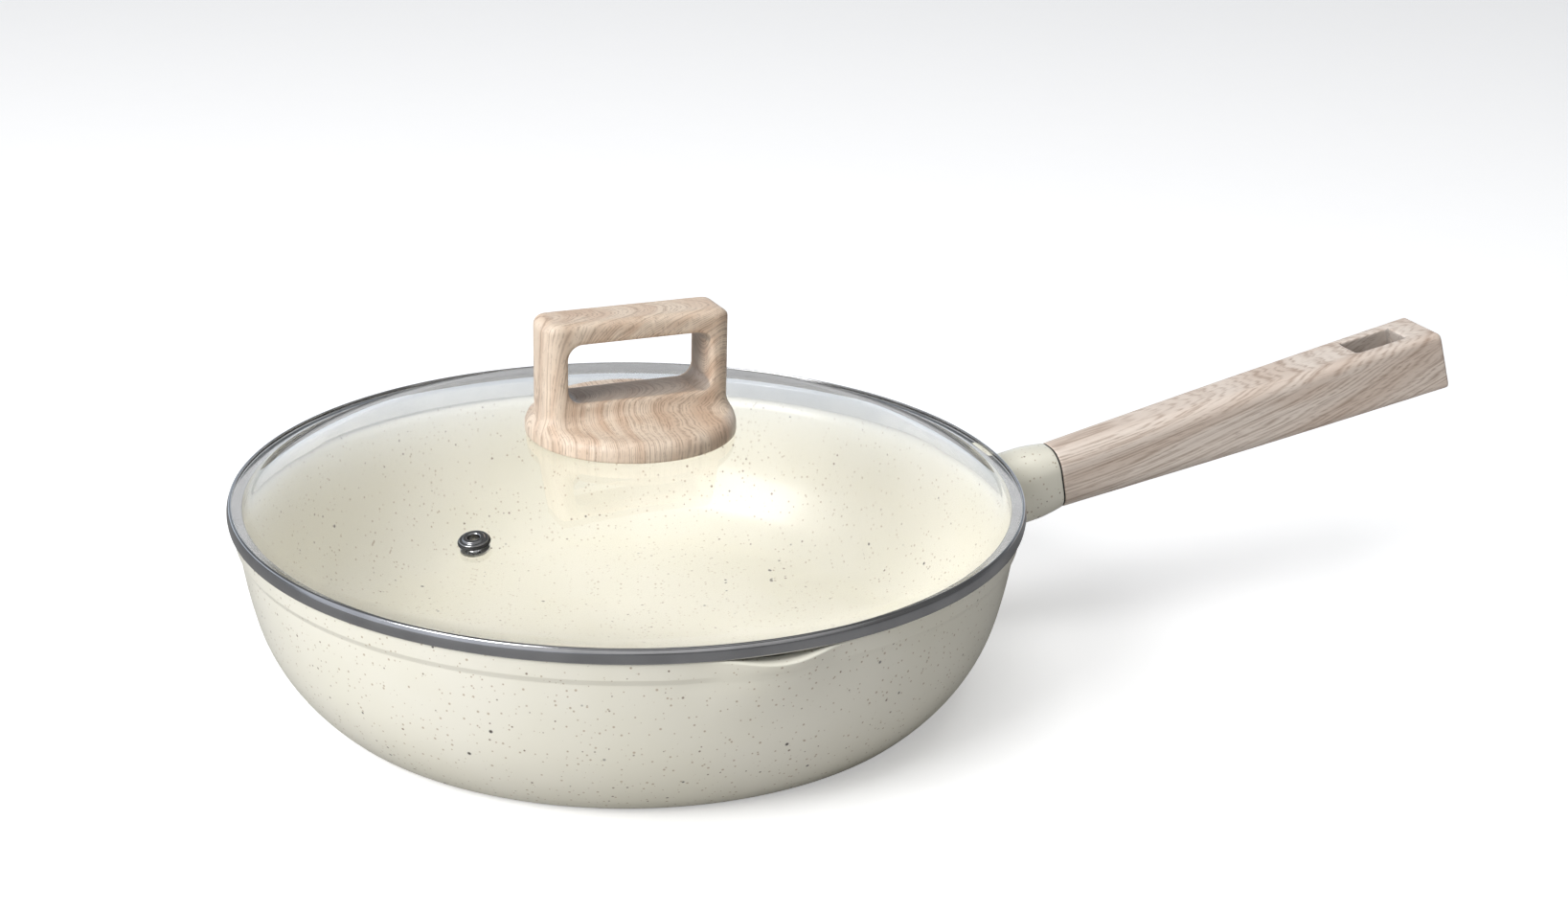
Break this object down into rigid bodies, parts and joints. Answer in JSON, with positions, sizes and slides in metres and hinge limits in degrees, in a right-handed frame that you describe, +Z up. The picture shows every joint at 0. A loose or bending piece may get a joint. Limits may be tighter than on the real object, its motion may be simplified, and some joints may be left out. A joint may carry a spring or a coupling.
{
  "type": "deep frying pan with lid",
  "caption": "Deep round frying pan with a cream stone-effect coating, a pouring spout, a wood-look handle with a hanging slot, and a lift-off domed glass lid with a wood-look bridge knob.",
  "frame": {"origin": "centre of the round underside of the pan, on the surface it stands on", "axes": "+Z up; +X from the pan's axis along the handle; the pouring spout points along -Y"},
  "size_m": [0.4938, 0.2925, 0.139],
  "materials": {
    "coating": "cast aluminium under a satin cream ceramic coating with sparse dark speckles",
    "steel": "brushed",
    "bright_steel": "polished stainless steel",
    "silicone": "matte dark silicone",
    "wood_look": "heat-proof moulding with a printed pale wood grain",
    "glass": "clear tempered glass",
    "brass": "turned"
  },
  "bodies": {
    "pan": {"pan_body": "coating", "base_plate": "steel", "handle_gasket": "silicone", "handle_grip": "wood_look", "handle_bolt": "steel", "handle_flat_washer": "steel", "handle_spring_washer": "steel"},
    "lid": {"lid_glass": "glass", "lid_rim": "bright_steel", "vent_eyelet": "bright_steel", "vent_gasket": "silicone", "vent_washer": "steel", "knob": "wood_look", "knob_insert": "brass", "knob_screw": "steel", "knob_flat_washer": "steel", "knob_spring_washer": "steel", "knob_upper_gasket": "silicone", "knob_lower_gasket": "silicone"}
  },
  "joints": [
    {"name": "lid_lift", "type": "slide", "parent": "pan", "child": "lid", "axis": [0, 0, 1], "range_m": [0, 0.15]}
  ]
}
